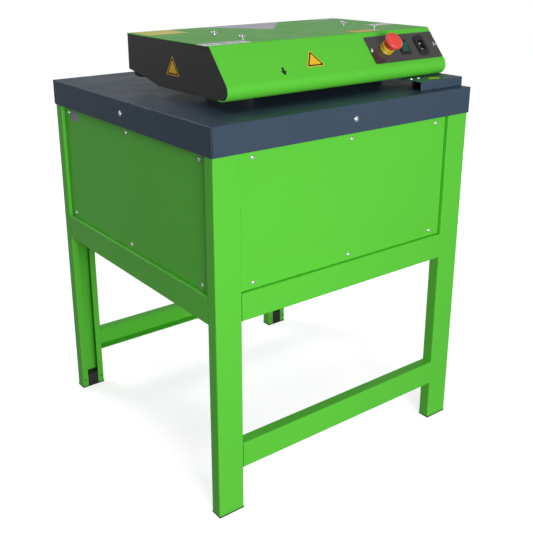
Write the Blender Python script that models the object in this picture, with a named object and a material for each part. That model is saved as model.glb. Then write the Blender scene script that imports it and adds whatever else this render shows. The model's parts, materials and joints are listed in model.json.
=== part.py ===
"""Cardboard perforator on a sheet-metal stand.

A stand of four folded legs carries a folded table top and a closed drive bay.  A low head
on the table holds two counter-rotating cutter rollers.  Card slides over the table, under
the head's nose, between the rollers and out at the back.

Metres, +Z up.  +X runs along the operator's side from left to right, +Y points away from
the operator, and the origin is on the floor, under the middle of the table.
"""

import math

import bmesh
import bpy
from mathutils import Matrix, Vector

MM = 0.001
GAP = 0.3 * MM  # clearance between pieces that touch or nest
PAST = 9 * MM  # how far a cutter runs past the faces that it cuts
ROUND = 24  # sides of a turned piece

# ---- Stand ---------------------------------------------------------------------------
TABLE_W, TABLE_D, TABLE_Z = 674 * MM, 664 * MM, 800 * MM
TABLE_RIM = 56 * MM
TABLE_SHEET = 2 * MM
TABLE_SEAM = 1.2 * MM
TABLE_EDGE_ROUND = 2.2 * MM

FRAME_X = TABLE_W / 2 - TABLE_SHEET - GAP  # outer faces of the legs
FRAME_Y = TABLE_D / 2 - TABLE_SHEET - GAP
LEG_W, LEG_D = 60 * MM, 28 * MM
LEG_SHEET = 2.5 * MM
LEG_LIP = 16 * MM
LEG_BEND = 3 * MM
FOOT_PAD_H = 3 * MM
FOOT_PLUG_H = 34 * MM

LOWER_RAIL_Z = (95 * MM, 151 * MM)
UPPER_RAIL_Z = (418 * MM, 475 * MM)
RAIL_UPSTAND = 21 * MM
RAIL_UPSTAND_IN = 10 * MM

PANEL_SHEET = 1.5 * MM
PANEL_Z = (477 * MM, 742 * MM)
PANEL_SINK = 8 * MM  # the panels' faces behind the legs' and rails' faces
PANEL_CORNER = 6 * MM
TOP_FRAME_Z, TOP_FRAME_IN = 722 * MM, 10.1 * MM

# ---- Cutter cassette -------------------------------------------------------------------
SHAFT_Y = -82 * MM
NIP_Z = TABLE_Z + 6 * MM
SHAFT_SPACING = 78 * MM
UPPER_Z = NIP_Z + SHAFT_SPACING / 2
LOWER_Z = NIP_Z - SHAFT_SPACING / 2
PLATE_T = 12 * MM
PLATE_LEFT_X, PLATE_RIGHT_X = -127 * MM, 235 * MM  # middles of the bearing plates
PLATE_HALF_Y = 58 * MM
PLATE_Z = (714 * MM, 905 * MM)
PLATE_SHOULDER = 20 * MM
BEARING_R, BEARING_BORE_R, BEARING_T = 25.7 * MM, 12.8 * MM, 11.6 * MM
JOURNAL_R, SHAFT_R = 12.5 * MM, 15 * MM
ROLLER_CORE_R = 19 * MM
DISC_TIP_R, DISC_ROOT_R, DISC_T = 42 * MM, 36 * MM, 13 * MM
DISC_COUNT, DISC_TEETH = 9, 10
GEAR_TEETH, GEAR_MODULE, GEAR_X, GEAR_T = 26, 3 * MM, 255 * MM, 18 * MM
COMB_T = 3 * MM
SHAFT_STEP = 8.5 * MM  # from a bearing plate's middle to the shaft's shoulder
ROLLER_END = 9.5 * MM  # from a bearing plate's middle to the roller's end
BOLT_SPREAD = 50 * MM  # hood bolts, each way from the shafts
CASSETTE_OPENING_X = (-136 * MM, 296 * MM)
CASSETTE_OPENING_SPARE = 3 * MM

# ---- Drive -----------------------------------------------------------------------------
CHAIN_X, CHAIN_PITCH, CHAIN_W, CHAIN_H = 280 * MM, 12.7 * MM, 9 * MM, 5.5 * MM
DRIVEN_TEETH, DRIVER_TEETH = 18, 12
MOTOR_Z = 520 * MM
MOTOR_R = 62 * MM
MOTOR_X = (-110 * MM, 118 * MM)
GEARBOX_X = (118.3 * MM, 238 * MM)
OUTPUT_SHAFT_R = 11 * MM
MOTOR_PLATE_X, MOTOR_PLATE_T = (-160 * MM, 262 * MM), 4 * MM

# ---- Head ------------------------------------------------------------------------------
HEAD_X = (-254 * MM, 332 * MM)
HEAD_TOP = 918 * MM
HEAD_BELLY = 820 * MM
HEAD_REAR_Y = 112 * MM
HEAD_REAR_Z = 842 * MM
BELLY_KINKS = ((-12 * MM, 820 * MM), (32 * MM, 831 * MM))
FOLD_Y = -204 * MM
NOSE_Y, NOSE_R = -243 * MM, 20 * MM
HOOD_LIP_Y = -229 * MM
HEAD_SHEET = 2 * MM
SIDE_RECESS = 1 * MM
REAR_RECESS = 4 * MM
LOUVRES, LOUVRE_HALF_X, LOUVRE_Z = 8, 22 * MM, (876 * MM, 882 * MM)

# ---- Side guide ------------------------------------------------------------------------
GUIDE_X = (206 * MM, 335.5 * MM)
GUIDE_Y = (-308 * MM, -166 * MM)

# ---- Controls, measured down the slope from the hood's fold ----------------------------
PANEL_PLATE_X, PANEL_PLATE_S = (125.5 * MM, 328.5 * MM), (13 * MM, 79 * MM)
PANEL_PLATE_T = 1.5 * MM
CONTROL_S = 46 * MM
ESTOP_X, ROCKER_X, INLET_X = 172 * MM, 225 * MM, 278.5 * MM
ESTOP_TRAVEL = 4.5 * MM
ESTOP_STEM_R, ESTOP_BORE_R, ESTOP_STEM_END = 6.2 * MM, 6.6 * MM, -16 * MM
ESTOP_POCKET_R, ESTOP_SKIRT_END = 13.1 * MM, 10 * MM  # the cap's skirt slides in the collar
ROCKER_PIVOT = -5 * MM
ROCKER_TILT = 10.0  # degrees, off position

GREEN = (0.10, 0.56, 0.03)
SLATE = (0.085, 0.10, 0.13)
BLACK = (0.018, 0.018, 0.019)
STEEL = (0.55, 0.56, 0.58)
CUTTER_STEEL = (0.32, 0.33, 0.35)
RUBBER = (0.012, 0.012, 0.012)
CHROME = (0.80, 0.80, 0.82)
PLATE_BROWN = (0.060, 0.052, 0.050)
RED = (0.75, 0.035, 0.03)
YELLOW = (0.75, 0.48, 0.02)
TEAL = (0.01, 0.13, 0.10)
MOTOR_BLUE = (0.05, 0.09, 0.16)


def clear_scene():
    for obj in list(bpy.data.objects):
        bpy.data.objects.remove(obj, do_unlink=True)


def material(name, colour, roughness=0.4, metallic=0.0):
    made = bpy.data.materials.new(name)
    made.use_nodes = True
    shader = made.node_tree.nodes["Principled BSDF"]
    shader.inputs["Base Color"].default_value = (*colour, 1.0)
    shader.inputs["Roughness"].default_value = roughness
    shader.inputs["Metallic"].default_value = metallic
    made.diffuse_color = (*colour, 1.0)
    return made


def finish(name, bm, colour, roughness=0.4, metallic=0.0, smooth=False):
    """Turns a bmesh into a named object with its own material."""
    bmesh.ops.remove_doubles(bm, verts=bm.verts, dist=1e-6)
    bmesh.ops.recalc_face_normals(bm, faces=bm.faces)
    mesh = bpy.data.meshes.new(name)
    bm.to_mesh(mesh)
    bm.free()
    if smooth:
        mesh.shade_smooth()
        mesh.set_sharp_from_angle(angle=math.radians(32))
    mesh.materials.append(material(name + "_finish", colour, roughness, metallic))
    obj = bpy.data.objects.new(name, mesh)
    bpy.context.scene.collection.objects.link(obj)
    return obj


def helper(name, bm):
    """A cutter or a piece to be joined: kept out of renders and drawn as wire."""
    obj = finish(name, bm, STEEL)
    obj.hide_render = True
    obj.display_type = "WIRE"
    return obj


def boolean(target, other, operation="DIFFERENCE"):
    modifier = target.modifiers.new(other.name, "BOOLEAN")
    modifier.operation = operation
    modifier.solver = "EXACT"
    modifier.object = other


# ---- Shape builders --------------------------------------------------------------------
def place(axis, a, b, along):
    """A point whose profile coordinates are (a, b), at a distance along the given axis."""
    if axis == "X":
        return Vector((along, a, b))
    if axis == "Y":
        return Vector((a, along, b))
    return Vector((a, b, along))


def loft(rings, closed=False):
    """Joins rings of equally many points, and caps the ends unless the rings form a loop."""
    bm = bmesh.new()
    loops = [[bm.verts.new(point) for point in ring] for ring in rings]
    count = len(loops[0])
    pairs = list(zip(loops, loops[1:]))
    if closed:
        pairs.append((loops[-1], loops[0]))
    for first, second in pairs:
        for i in range(count):
            j = (i + 1) % count
            bm.faces.new((first[i], first[j], second[j], second[i]))
    if not closed:
        bm.faces.new(reversed(loops[0]))
        bm.faces.new(loops[-1])
    return bm


def prism(outline, axis, low, high):
    """An outline extruded along an axis."""
    bm = bmesh.new()
    face = bm.faces.new([bm.verts.new(place(axis, a, b, low)) for a, b in outline])
    made = bmesh.ops.extrude_face_region(bm, geom=[face])
    moved = [item for item in made["geom"] if isinstance(item, bmesh.types.BMVert)]
    bmesh.ops.translate(bm, verts=moved, vec=place(axis, 0, 0, high - low))
    return bm


def ring_prism(outer, inner, axis, low, high):
    """A closed band between two outlines of equally many points."""
    rings = [
        [place(axis, a, b, low) for a, b in outer],
        [place(axis, a, b, high) for a, b in outer],
        [place(axis, a, b, high) for a, b in inner],
        [place(axis, a, b, low) for a, b in inner],
    ]
    return loft(rings, closed=True)


def box(x, y, z):
    return prism([(x[0], y[0]), (x[1], y[0]), (x[1], y[1]), (x[0], y[1])], "Z", *z)


def circle(radius, sides=ROUND, centre=(0.0, 0.0)):
    turns = [2 * math.pi * i / sides for i in range(sides)]
    return [(centre[0] + radius * math.cos(t), centre[1] + radius * math.sin(t)) for t in turns]


def arc(centre, radius, start, end, steps):
    """Points on an arc, with angles in degrees."""
    angles = [math.radians(start + (end - start) * i / steps) for i in range(steps + 1)]
    return [(centre[0] + radius * math.cos(t), centre[1] + radius * math.sin(t)) for t in angles]


def turned(profile, sides=ROUND, ring=False):
    """Spins (radius, height) points about Z.  A ring's profile is a closed loop."""
    bm = bmesh.new()
    verts = [bm.verts.new((radius, 0, height)) for radius, height in profile]
    edges = [bm.edges.new(pair) for pair in zip(verts, verts[1:])]
    if ring:
        edges.append(bm.edges.new((verts[-1], verts[0])))
    bmesh.ops.spin(
        bm, geom=verts + edges, axis=(0, 0, 1), cent=(0, 0, 0),
        steps=sides, angle=2 * math.pi, use_merge=True,
    )
    bmesh.ops.remove_doubles(bm, verts=bm.verts, dist=1e-6)
    return bm


def along_x(bm, x=0.0, y=0.0, z=0.0):
    """Turns a piece spun about Z so that its axis lies along X, and moves it."""
    turn = Matrix.Rotation(math.pi / 2, 4, "Y")
    bmesh.ops.transform(bm, matrix=Matrix.Translation((x, y, z)) @ turn, verts=bm.verts)
    return bm


def rounded(points, radius, steps=2):
    """An open path with its inner corners replaced by arcs."""
    path = [Vector(points[0])]
    for before, corner, after in zip(points, points[1:], points[2:]):
        corner = Vector(corner)
        to_before = (Vector(before) - corner).normalized()
        to_after = (Vector(after) - corner).normalized()
        half = to_before.angle(to_after) / 2
        middle = corner + (to_before + to_after).normalized() * (radius / math.sin(half))
        start = (corner + to_before * (radius / math.tan(half)) - middle).normalized()
        end = (corner + to_after * (radius / math.tan(half)) - middle).normalized()
        for i in range(steps + 1):
            path.append(middle + start.slerp(end, i / steps) * radius)
    path.append(Vector(points[-1]))
    return path


def offset(path, distance):
    """The path moved sideways, to its left for a positive distance."""
    moved = []
    for i, point in enumerate(path):
        before = (point - path[i - 1]).normalized() if i > 0 else None
        after = (path[i + 1] - point).normalized() if i < len(path) - 1 else None
        first, second = before or after, after or before
        tangent = (first + second).normalized()
        side = Vector((-tangent.y, tangent.x))
        moved.append(point + side * (distance / max(0.2, tangent.dot(first))))
    return moved


def folded(points, thickness, bend, steps=2):
    """The cross-section of a bent sheet whose outer face follows the points.

    The sheet's thickness lies to the left of the path.
    """
    outer = rounded(points, bend, steps)
    inner = offset(outer, thickness)
    return [tuple(p) for p in outer] + [tuple(p) for p in reversed(inner)]


def rounded_rectangle(a, b, radius, steps=3):
    (a0, a1), (b0, b1) = a, b
    corners = ((a1, b0, -90), (a1, b1, 0), (a0, b1, 90), (a0, b0, 180))
    outline = []
    for x, y, start in corners:
        centre = (
            x - math.copysign(radius, x - (a0 + a1) / 2),
            y - math.copysign(radius, y - (b0 + b1) / 2),
        )
        outline += arc(centre, radius, start, start + 90, steps)
    return outline


def mirrored(outline, flip_a=False, flip_b=False):
    return [(-a if flip_a else a, -b if flip_b else b) for a, b in outline]


# ---- Stand -----------------------------------------------------------------------------
def make_table_top():
    half_x, half_y = TABLE_W / 2, TABLE_D / 2
    bm = box((-half_x, half_x), (-half_y, half_y), (TABLE_Z - TABLE_RIM, TABLE_Z))
    top_edges = [e for e in bm.edges if all(v.co.z > TABLE_Z - MM for v in e.verts)]
    bmesh.ops.bevel(
        bm, geom=top_edges, offset=TABLE_EDGE_ROUND, segments=2, profile=0.5, affect="EDGES",
    )
    table = finish("table_top", bm, SLATE, 0.35)
    inner_x, inner_y = half_x - TABLE_SHEET, half_y - TABLE_SHEET
    inside = box(
        (-inner_x, inner_x), (-inner_y, inner_y),
        (TABLE_Z - TABLE_RIM - PAST, TABLE_Z - TABLE_SHEET),
    )
    boolean(table, helper("cut_tray", inside))
    opening = box(
        CASSETTE_OPENING_X, cassette_y(CASSETTE_OPENING_SPARE), (TABLE_Z - PAST, TABLE_Z + PAST),
    )
    boolean(table, helper("cut_table_opening", opening))
    for i, (sx, sy) in enumerate(((-1, -1), (1, -1), (1, 1), (-1, 1))):
        x = sorted((sx * half_x + sx * MM, sx * (half_x - TABLE_SEAM)))
        y = sorted((sy * half_y + sy * MM, sy * (half_y - TABLE_SEAM)))
        seam = box(x, y, (TABLE_Z - TABLE_RIM - MM, TABLE_Z - 2 * TABLE_SHEET))
        boolean(table, helper(f"cut_seam_{i}", seam))


def make_legs():
    """Lipped channels: the closed web faces outward, the open side towards the bay."""
    for side, sx in (("left", -1), ("right", 1)):
        for end, sy in (("front", -1), ("rear", 1)):
            x_out, x_in = FRAME_X, FRAME_X - LEG_W
            y_out, y_in = FRAME_Y, FRAME_Y - LEG_D
            points = [
                (x_out - LEG_LIP, y_in), (x_out, y_in), (x_out, y_out),
                (x_in, y_out), (x_in, y_in), (x_in + LEG_LIP, y_in),
            ]
            outline = mirrored(folded(points, LEG_SHEET, LEG_BEND), sx < 0, sy < 0)
            top = TABLE_Z - TABLE_SHEET - GAP
            leg = prism(outline, "Z", FOOT_PAD_H, top)
            finish(f"leg_{end}_{side}", leg, GREEN, 0.35, smooth=True)
            make_foot(f"foot_{end}_{side}", sx, sy)


def make_foot(name, sx, sy):
    """A black plug in the leg's open end, with a pad under the leg."""
    clear = LEG_SHEET + GAP
    pad = (LEG_W / 2, LEG_D / 2)
    plug = (LEG_W / 2 - clear, LEG_D / 2 - clear)
    centre_x, centre_y = sx * (FRAME_X - LEG_W / 2), sy * (FRAME_Y - LEG_D / 2)

    def ring(half, z):
        return [
            (centre_x + a * half[0], centre_y + b * half[1], z)
            for a, b in ((-1, -1), (1, -1), (1, 1), (-1, 1))
        ]

    pad_top = FOOT_PAD_H - GAP
    rings = [ring(pad, 0), ring(pad, pad_top), ring(plug, pad_top), ring(plug, FOOT_PLUG_H)]
    finish(name, loft(rings), RUBBER, 0.7)


def make_rails():
    """Folded channels between the legs, web outward.  The upper ones carry the panels."""
    depth = LEG_D - 2 * MM
    between_x, between_y = FRAME_X - LEG_W - GAP, FRAME_Y - LEG_D - GAP

    def channel(face, z, upstand):
        low, high = z
        if not upstand:
            points = [(face - depth, low), (face, low), (face, high), (face - depth, high)]
            return folded(points, LEG_SHEET, LEG_BEND)
        t, step = LEG_SHEET, face - RAIL_UPSTAND_IN
        return [
            (face - depth, low), (face - 1.5 * MM, low), (face, low + 1.5 * MM),
            (face, high), (step, high), (step, high + RAIL_UPSTAND),
            (step - t, high + RAIL_UPSTAND), (step - t, high - t), (face - t, high - t),
            (face - t, low + t), (face - depth, low + t),
        ]

    for end, sy in (("front", -1), ("rear", 1)):
        for level, z, upstand in (("lower", LOWER_RAIL_Z, False), ("upper", UPPER_RAIL_Z, True)):
            outline = mirrored(channel(FRAME_Y, z, upstand), sy < 0)
            rail = prism(outline, "X", -between_x, between_x)
            finish(f"rail_{end}_{level}", rail, GREEN, 0.35)
    for side, sx in (("left", -1), ("right", 1)):
        outline = mirrored(channel(FRAME_X, UPPER_RAIL_Z, True), sx < 0)
        rail = prism(outline, "Y", -between_y, between_y)
        finish(f"rail_{side}_upper", rail, GREEN, 0.35)


def make_top_frame():
    """A welded band under the table that steps round the legs and holds the panels' tops."""
    def path(inset):
        x, y = FRAME_X - TOP_FRAME_IN - inset, FRAME_Y - TOP_FRAME_IN - inset
        notch_x = FRAME_X - LEG_W - GAP - inset
        notch_y = FRAME_Y - LEG_D - GAP - inset
        quarter = [(x, -notch_y), (x, notch_y), (notch_x, notch_y), (notch_x, y)]
        other = [(-a, b) for a, b in reversed(quarter)]
        upper = quarter[1:] + other[:-1]
        return upper + [(-a, -b) for a, b in upper]

    band = ring_prism(
        path(0), path(LEG_SHEET), "Z", TOP_FRAME_Z, TABLE_Z - TABLE_SHEET - GAP,
    )
    finish("top_frame", band, GREEN, 0.4)


def make_panels():
    between_x, between_y = FRAME_X - LEG_W - 1.5 * MM, FRAME_Y - LEG_D - 1.0 * MM
    for end, sy in (("front", -1), ("rear", 1)):
        face = FRAME_Y - PANEL_SINK
        outline = rounded_rectangle((-between_x, between_x), PANEL_Z, PANEL_CORNER)
        sides = sorted((sy * face, sy * (face - PANEL_SHEET)))
        finish(f"panel_{end}", prism(outline, "Y", *sides), GREEN, 0.35)
    for side, sx in (("left", -1), ("right", 1)):
        face = FRAME_X - PANEL_SINK
        outline = rounded_rectangle((-between_y, between_y), PANEL_Z, PANEL_CORNER)
        sides = sorted((sx * face, sx * (face - PANEL_SHEET)))
        finish(f"panel_{side}", prism(outline, "X", *sides), GREEN, 0.35)


# ---- Cutter cassette -------------------------------------------------------------------
def cassette_y(spare):
    return (SHAFT_Y - PLATE_HALF_Y - spare, SHAFT_Y + PLATE_HALF_Y + spare)


def make_bearing_plates():
    """Two thick plates that stand on the table by their shoulders and hold the bearings."""
    y0, y1 = cassette_y(0)
    low, high = PLATE_Z
    seat, top = TABLE_Z + GAP, HEAD_BELLY - GAP
    outline = [
        (y0, low), (y1, low), (y1, seat), (y1 + PLATE_SHOULDER, seat),
        (y1 + PLATE_SHOULDER, top), (y1, top), (y1, high), (y0, high),
        (y0, top), (y0 - PLATE_SHOULDER, top), (y0 - PLATE_SHOULDER, seat), (y0, seat),
    ]
    for side, x in (("left", PLATE_LEFT_X), ("right", PLATE_RIGHT_X)):
        faces = (x - PLATE_T / 2, x + PLATE_T / 2)
        plate = finish(f"bearing_plate_{side}", prism(outline, "X", *faces), STEEL, 0.35, 0.9)
        for level, z in (("upper", UPPER_Z), ("lower", LOWER_Z)):
            bore = prism(
                circle(BEARING_R + GAP, centre=(SHAFT_Y, z)), "X", faces[0] - PAST, faces[1] + PAST,
            )
            boolean(plate, helper(f"cut_bore_{side}_{level}", bore))
            make_bearing(f"bearing_{level}_{side}", x, z)
        for i, y in enumerate(bolt_rows()):
            hole = prism(circle(4.4 * MM, 12, (x, y)), "Z", high - 24 * MM, high + PAST)
            boolean(plate, helper(f"cut_bolt_{side}_{i}", hole))


def make_bearing(name, x, z):
    half = BEARING_T / 2
    profile = [
        (BEARING_BORE_R, -half), (BEARING_R, -half), (BEARING_R, half), (BEARING_BORE_R, half),
    ]
    ring = along_x(turned(profile, ring=True), x, SHAFT_Y, z)
    finish(name, ring, CHROME, 0.25, 1.0, smooth=True)


def make_shaft(name, z, right_end):
    left_end = PLATE_LEFT_X - 16 * MM
    left_step, right_step = PLATE_LEFT_X + SHAFT_STEP, PLATE_RIGHT_X - SHAFT_STEP
    profile = [
        (0, left_end), (JOURNAL_R - MM, left_end), (JOURNAL_R, left_end + MM),
        (JOURNAL_R, left_step), (SHAFT_R, left_step), (SHAFT_R, right_step),
        (JOURNAL_R, right_step), (JOURNAL_R, right_end - MM),
        (JOURNAL_R - MM, right_end), (0, right_end),
    ]
    shaft = along_x(turned(profile))
    made = finish(name, shaft, STEEL, 0.25, 1.0, smooth=True)
    made.location = (0, SHAFT_Y, z)


def disc_places(shift):
    """Middles of a roller's discs along X; the two rollers' discs interleave."""
    span = (PLATE_LEFT_X + ROLLER_END, PLATE_RIGHT_X - ROLLER_END)
    pitch = (span[1] - span[0] - DISC_T - 2 * MM) / (DISC_COUNT - 0.5)
    first = span[0] + MM + DISC_T / 2 + shift * pitch / 2
    return [first + i * pitch for i in range(DISC_COUNT)]


def make_roller(name, z, shift):
    """A bored core with a row of toothed discs that puncture the card."""
    ends = (PLATE_LEFT_X + ROLLER_END, PLATE_RIGHT_X - ROLLER_END)
    sides = 2 * DISC_TEETH

    def ring(x, tip, root):
        points = []
        for i in range(sides):
            turn = 2 * math.pi * i / sides
            radius = root if i % 2 else tip
            points.append((x, radius * math.cos(turn), radius * math.sin(turn)))
        return points

    rings = [ring(ends[0], ROLLER_CORE_R, ROLLER_CORE_R)]
    for middle in disc_places(shift):
        for x, toothed in (
            (middle - DISC_T / 2, False), (middle - DISC_T / 2, True),
            (middle + DISC_T / 2, True), (middle + DISC_T / 2, False),
        ):
            tip = DISC_TIP_R if toothed else ROLLER_CORE_R
            root = DISC_ROOT_R if toothed else ROLLER_CORE_R
            rings.append(ring(x, tip, root))
    rings.append(ring(ends[1], ROLLER_CORE_R, ROLLER_CORE_R))
    bore = SHAFT_R + GAP
    rings += [ring(ends[1], bore, bore), ring(ends[0], bore, bore)]
    made = finish(name, loft(rings, closed=True), CUTTER_STEEL, 0.3, 1.0)
    made.location = (0, SHAFT_Y, z)


def toothed_outline(teeth, tip, root, tip_share, root_share, phase):
    """A gear's outline.  The shares say how much of a pitch the tooth fills there."""
    pitch = 2 * math.pi / teeth
    corners = ((root, -root_share), (tip, -tip_share), (tip, tip_share), (root, root_share))
    outline = []
    for i in range(teeth):
        middle = phase + i * pitch
        for radius, part in corners:
            turn = middle + part * pitch / 2
            outline.append((radius * math.cos(turn), radius * math.sin(turn)))
    return outline


def make_timing_gears():
    """Two equal gears that make the rollers turn opposite ways."""
    pitch_r = GEAR_MODULE * GEAR_TEETH / 2
    half_pitch = math.pi / GEAR_TEETH
    for name, z, phase in (
        ("timing_gear_upper", UPPER_Z, -math.pi / 2),
        ("timing_gear_lower", LOWER_Z, math.pi / 2 + half_pitch),
    ):
        outline = toothed_outline(
            GEAR_TEETH, pitch_r + 0.8 * GEAR_MODULE, pitch_r - 1.1 * GEAR_MODULE, 0.22, 0.60,
            phase,
        )
        gear = finish(name, prism(outline, "X", -GEAR_T / 2, GEAR_T / 2), STEEL, 0.35, 1.0)
        gear.location = (GEAR_X, SHAFT_Y, z)
        bore_shaft(gear, GEAR_X, z)


def bore_shaft(wheel, x, z):
    bore = helper("cut_" + wheel.name, prism(circle(JOURNAL_R + GAP), "X", -40 * MM, 40 * MM))
    bore.location = (x, SHAFT_Y, z)
    boolean(wheel, bore)


def comb(name, z, half_slot, shift, colour):
    """A plate between the bearing plates, slotted where a roller's discs pass."""
    ends = (PLATE_LEFT_X + PLATE_T / 2 + GAP, PLATE_RIGHT_X - PLATE_T / 2 - GAP)
    y0, y1 = cassette_y(2.6 * MM)
    plate = finish(name, box(ends, (y0, y1), z), colour, 0.35, 0.8)
    for i, middle in enumerate(disc_places(shift)):
        reach = DISC_T / 2 + 3 * MM
        slot = box(
            (middle - reach, middle + reach), (SHAFT_Y - half_slot, SHAFT_Y + half_slot),
            (z[0] - PAST, z[1] + PAST),
        )
        boolean(plate, helper(f"cut_{name}_{i}", slot))


# ---- Drive -----------------------------------------------------------------------------
def sprocket_radius(teeth):
    return CHAIN_PITCH / 2 / math.sin(math.pi / teeth)


def make_sprockets():
    for name, teeth in (("driven_sprocket", DRIVEN_TEETH), ("drive_sprocket", DRIVER_TEETH)):
        radius = sprocket_radius(teeth)
        outline = toothed_outline(teeth, radius + 3 * MM, radius - 4 * MM, 0.12, 0.62, 0)
        wheel = prism(outline, "X", -3.6 * MM, 3.6 * MM)
        made = finish(name, wheel, STEEL, 0.4, 1.0)
        if name == "driven_sprocket":
            made.location = (CHAIN_X, SHAFT_Y, LOWER_Z)
            bore_shaft(made, CHAIN_X, LOWER_Z)
            continue
        reach = CHAIN_X - GEARBOX_X[1]
        inner_end, outer_end = -reach - 18 * MM, 13 * MM
        shaft = turned([
            (0, inner_end), (OUTPUT_SHAFT_R, inner_end), (OUTPUT_SHAFT_R, outer_end - MM),
            (OUTPUT_SHAFT_R - MM, outer_end), (0, outer_end),
        ])
        stub = helper("join_output_shaft", along_x(shaft))
        made.location = stub.location = (CHAIN_X, SHAFT_Y, MOTOR_Z)
        boolean(made, stub, "UNION")


def make_chain():
    """One closed loop round both sprockets, just outside their tips."""
    big = sprocket_radius(DRIVEN_TEETH) + 3 * MM + 2 * GAP
    small = sprocket_radius(DRIVER_TEETH) + 3 * MM + 2 * GAP

    def loop(grow):
        centre_distance = LOWER_Z - MOTOR_Z
        lean = math.degrees(math.asin((big - small) / centre_distance))
        upper = arc((SHAFT_Y, LOWER_Z), big + grow, -lean, 180 + lean, 16)
        lower = arc((SHAFT_Y, MOTOR_Z), small + grow, 180 + lean, 360 - lean, 12)
        return upper + lower

    band = ring_prism(
        loop(CHAIN_H), loop(0), "X", CHAIN_X - CHAIN_W / 2, CHAIN_X + CHAIN_W / 2,
    )
    finish("drive_chain", band, CUTTER_STEEL, 0.45, 0.9)


def make_motor():
    plate_top = UPPER_RAIL_Z[0] + LEG_SHEET + GAP + MOTOR_PLATE_T
    reach = FRAME_Y - LEG_SHEET - 2 * MM
    plate = box(MOTOR_PLATE_X, (-reach, reach), (plate_top - MOTOR_PLATE_T, plate_top))
    finish("motor_plate", plate, STEEL, 0.4, 0.8)

    foot_z = plate_top + GAP
    x0, x1 = MOTOR_X
    shell = [
        (0, x0), (46 * MM, x0), (56 * MM, x0 + 8 * MM), (56 * MM, x0 + 46 * MM),
        (MOTOR_R, x0 + 46 * MM), (MOTOR_R, x1 - 12 * MM), (70 * MM, x1 - 12 * MM),
        (70 * MM, x1), (0, x1),
    ]
    motor = along_x(turned(shell, 32), 0, SHAFT_Y, MOTOR_Z)
    motor = finish("drive_motor", motor, MOTOR_BLUE, 0.45, smooth=True)
    foot = box(
        (x0 + 60 * MM, x1 - 20 * MM), (SHAFT_Y - 60 * MM, SHAFT_Y + 60 * MM),
        (foot_z, foot_z + 44 * MM),
    )
    boolean(motor, helper("join_motor_foot", foot), "UNION")
    terminals = box(
        (-10 * MM, 76 * MM), (SHAFT_Y - 34 * MM, SHAFT_Y + 34 * MM),
        (MOTOR_Z + 50 * MM, MOTOR_Z + 92 * MM),
    )
    boolean(motor, helper("join_terminal_box", terminals), "UNION")

    height = (foot_z, MOTOR_Z + 66 * MM)
    outline = rounded_rectangle((SHAFT_Y - 66 * MM, SHAFT_Y + 66 * MM), height, 12 * MM, 2)
    gearbox = finish("gearbox", prism(outline, "X", *GEARBOX_X), MOTOR_BLUE, 0.5)
    bore = prism(
        circle(OUTPUT_SHAFT_R + GAP, centre=(SHAFT_Y, MOTOR_Z)), "X",
        GEARBOX_X[1] - 20 * MM, GEARBOX_X[1] + PAST,
    )
    boolean(gearbox, helper("cut_gearbox_bore", bore))


# ---- Head ------------------------------------------------------------------------------
def slope_angle():
    """Degrees from level of the hood's sloping front, tangent to the round nose."""
    down, back = HEAD_TOP - (HEAD_BELLY + NOSE_R), FOLD_Y - NOSE_Y
    return math.degrees(math.atan2(down, back) - math.asin(NOSE_R / math.hypot(down, back)))


def hood_path():
    """The hood's outer face from its rear edge, over the top and round the nose."""
    angle = slope_angle()
    nose = arc((NOSE_Y, HEAD_BELLY + NOSE_R), NOSE_R, 90 + angle, 270, 10)
    top = rounded([(HEAD_REAR_Y, HEAD_TOP), (FOLD_Y, HEAD_TOP), nose[0]], 5 * MM, 3)
    return [Vector(p) for p in (*top[:-1], *nose, (HOOD_LIP_Y, HEAD_BELLY))]


def bolt_rows():
    return (SHAFT_Y - BOLT_SPREAD, SHAFT_Y + BOLT_SPREAD)


def make_hood():
    outer = hood_path()
    outline = [tuple(p) for p in (*outer, *reversed(offset(outer, HEAD_SHEET)))]
    hood = finish("hood", prism(outline, "X", *HEAD_X), GREEN, 0.3, smooth=True)
    for side, x in (("left", PLATE_LEFT_X), ("right", PLATE_RIGHT_X)):
        for i, y in enumerate(bolt_rows()):
            hole = prism(circle(4.5 * MM, 12, (x, y)), "Z", HEAD_TOP - PAST, HEAD_TOP + PAST)
            boolean(hood, helper(f"cut_hood_{side}_{i}", hole))
    window = helper("cut_window", box((-90 * MM, 90 * MM), (-27 * MM, 27 * MM), (-PAST, PAST)))
    boolean(hood, on_slope(window, sum(PANEL_PLATE_X) / 2, CONTROL_S, 0))


def on_slope(obj, x, s, height):
    """Places a piece on the sloping front: x along it, s down it from the fold."""
    angle = math.radians(slope_angle())
    obj.rotation_euler = (angle, 0, 0)
    obj.location = (
        x,
        FOLD_Y - s * math.cos(angle) - height * math.sin(angle),
        HEAD_TOP - s * math.sin(angle) + height * math.cos(angle),
    )
    return obj


def belly_line(rise):
    """The underside: level behind the nose, then rising to the outlet at the back."""
    start = (HOOD_LIP_Y + 2 * MM, HEAD_BELLY + rise)
    middle = [(y, z + rise) for y, z in BELLY_KINKS]
    return [start, *middle, (HEAD_REAR_Y - REAR_RECESS - 0.5 * MM, HEAD_REAR_Z + rise)]


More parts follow.
